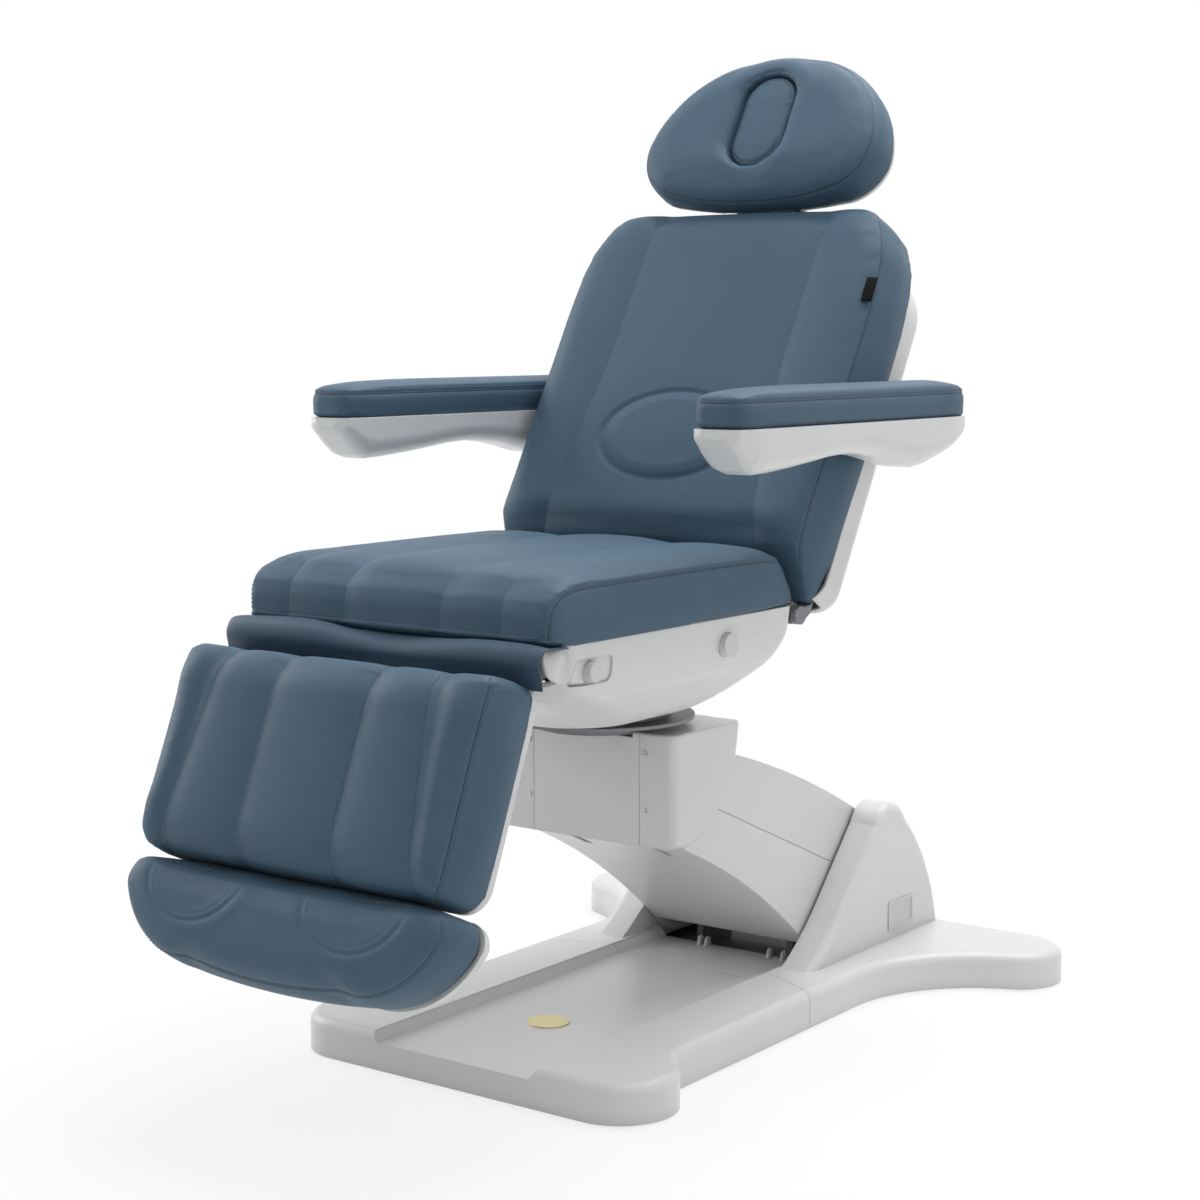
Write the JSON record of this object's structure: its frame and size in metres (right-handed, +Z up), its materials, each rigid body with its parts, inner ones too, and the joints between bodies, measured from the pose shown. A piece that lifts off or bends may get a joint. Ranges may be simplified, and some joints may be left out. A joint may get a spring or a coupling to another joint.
{
  "type": "treatment table",
  "caption": "Electric treatment chair with padded seat, reclining back, leg panel, sliding foot and headrest, swing armrests and a lifting swivel base.",
  "frame": {"origin": "on the floor at the middle of the base, under the seat's swivel axis", "axes": "+Z up, +Y towards the head end, +X to the left of a person who sits in the chair"},
  "size_m": [0.94, 1.4714, 1.5296],
  "materials": {
    "leatherette": "matt grained leatherette over foam",
    "flap_cloth": "thin leatherette, soft folds",
    "white_shell": "satin moulded cover",
    "grey_trim": "satin cap",
    "name_plate": "bare plate",
    "gold_emblem": "bare polished disc",
    "painted_steel": "powder coat",
    "bright_steel": "bright plated",
    "drive_casing": "black moulded housing",
    "foot_rubber": "moulded rubber"
  },
  "bodies": {
    "base": {"chassis_plate": "painted_steel", "pivot_bracket": "painted_steel", "lower_shafts": "bright_steel", "base_front_cover": "white_shell", "base_rear_cover": "white_shell", "base_feet": "foot_rubber", "base_emblem": "gold_emblem", "power_inlet": "drive_casing", "tower_plate": "name_plate"},
    "lift_arm": {"lift_arm_frame": "painted_steel", "arm_cover_upper": "white_shell", "arm_cover_belly": "white_shell"},
    "link": {"lift_link": "painted_steel"},
    "lift_drive": {"lift_motor": "drive_casing"},
    "lift_stem": {"lift_rod": "bright_steel"},
    "column_head": {"head_frame": "painted_steel", "upper_shafts": "bright_steel", "head_front_cover": "white_shell", "head_side_cover_left": "white_shell", "head_side_cover_right": "white_shell", "cover_screws": "bright_steel", "turntable_plate": "painted_steel"},
    "swivel": {"swivel_ring": "painted_steel", "tilt_shaft": "bright_steel", "tilt_motor": "drive_casing"},
    "tilt_stem": {"tilt_rod": "bright_steel"},
    "seat": {"seat_frame": "painted_steel", "seat_pan": "white_shell", "pan_caps": "grey_trim", "seat_cushion": "leatherette", "seat_flap": "flap_cloth", "back_motor": "drive_casing", "leg_motor": "drive_casing"},
    "back_stem": {"back_rod": "bright_steel"},
    "leg_stem": {"leg_rod": "bright_steel"},
    "back": {"back_frame": "painted_steel", "back_shell": "white_shell", "back_cushion": "leatherette", "arm_pivots": "painted_steel", "head_tubes": "bright_steel"},
    "head_slider": {"head_rods": "bright_steel"},
    "headrest": {"headrest_frame": "painted_steel", "headrest_shell": "white_shell", "headrest_cushion": "leatherette"},
    "plug": {"face_plug": "leatherette"},
    "arm_left": {"armrest_left_shell": "white_shell", "armrest_left_pad": "leatherette"},
    "arm_right": {"armrest_right_shell": "white_shell", "armrest_right_pad": "leatherette"},
    "leg": {"leg_frame": "painted_steel", "leg_shell": "white_shell", "leg_cushion": "leatherette", "leg_tubes": "bright_steel"},
    "foot": {"foot_frame": "painted_steel", "foot_shell": "white_shell", "foot_cushion": "leatherette"}
  },
  "joints": [
    {"name": "lift", "type": "hinge", "parent": "base", "child": "lift_arm", "pos_m": [0, 0.47, 0.185], "axis": [1, 0, 0], "range_deg": [-21, 21]},
    {"name": "link_swing", "type": "hinge", "parent": "base", "child": "link", "pos_m": [0, 0.47, 0.119], "axis": [1, 0, 0], "range_deg": [-21.5, 21.5]},
    {"name": "head_level", "type": "hinge", "parent": "lift_arm", "child": "column_head", "pos_m": [0, 0.07, 0.4], "axis": [1, 0, 0], "range_deg": [-21.5, 21.5]},
    {"name": "lift_drive_swing", "type": "hinge", "parent": "base", "child": "lift_drive", "pos_m": [0, 0.47, 0.119], "axis": [1, 0, 0], "range_deg": [-20, 20]},
    {"name": "lift_stroke", "type": "slide", "parent": "lift_drive", "child": "lift_stem", "axis": [0, -0.7742, 0.6329], "range_m": [-0.06, 0.06]},
    {"name": "swivel", "type": "hinge", "parent": "column_head", "child": "swivel", "pos_m": [0, 0, 0.5], "axis": [0, 0, 1], "range_deg": [-120, 120]},
    {"name": "seat_tilt", "type": "hinge", "parent": "swivel", "child": "seat", "pos_m": [0, 0, 0.575], "axis": [1, 0, 0], "range_deg": [-12, 0]},
    {"name": "tilt_stroke", "type": "slide", "parent": "swivel", "child": "tilt_stem", "axis": [0, 0, 1], "range_m": [-0.001, 0.025]},
    {"name": "recline", "type": "hinge", "parent": "seat", "child": "back", "pos_m": [0, 0.162, 0.655], "axis": [1, 0, 0], "range_deg": [-60, 0]},
    {"name": "back_stroke", "type": "slide", "parent": "seat", "child": "back_stem", "axis": [0, 1, 0], "range_m": [-0.05, 0.001]},
    {"name": "leg_raise", "type": "hinge", "parent": "seat", "child": "leg", "pos_m": [0, -0.466, 0.632], "axis": [1, 0, 0], "range_deg": [-67.5, 0], "deforming": ["seat_flap"]},
    {"name": "leg_stroke", "type": "slide", "parent": "seat", "child": "leg_stem", "axis": [0, -1, 0], "range_m": [-0.001, 0.06]},
    {"name": "foot_extend", "type": "slide", "parent": "leg", "child": "foot", "axis": [0, -0.3827, -0.9239], "range_m": [0, 0.15]},
    {"name": "head_slide", "type": "slide", "parent": "back", "child": "head_slider", "axis": [0, 0.5, 0.866], "range_m": [0, 0.12]},
    {"name": "head_tilt", "type": "hinge", "parent": "head_slider", "child": "headrest", "pos_m": [0, 0.49295, 1.27222], "axis": [1, 0, 0], "range_deg": [-40, 0]},
    {"name": "plug_pull", "type": "slide", "parent": "headrest", "child": "plug", "axis": [0, -0.866, 0.5], "range_m": [0, 0.075]},
    {"name": "arm_left_swing", "type": "hinge", "parent": "back", "child": "arm_left", "pos_m": [-0.353, 0.357, 0.918], "axis": [1, 0, 0], "range_deg": [-90, 0]},
    {"name": "arm_right_swing", "type": "hinge", "parent": "back", "child": "arm_right", "pos_m": [0.353, 0.357, 0.918], "axis": [1, 0, 0], "range_deg": [-90, 0]}
  ],
  "couplings": [
    {"joint": "link_swing", "follows": "lift", "ratio": 1},
    {"joint": "head_level", "follows": "lift", "ratio": -1},
    {"joint": "lift_drive_swing", "follows": "lift", "ratio": 0.8618},
    {"joint": "lift_stroke", "follows": "lift", "m_per_rad": -0.08693},
    {"joint": "tilt_stroke", "follows": "seat_tilt", "m_per_rad": -0.09167},
    {"joint": "back_stroke", "follows": "recline", "m_per_rad": 0.04297},
    {"joint": "leg_stroke", "follows": "leg_raise", "m_per_rad": -0.04716}
  ]
}
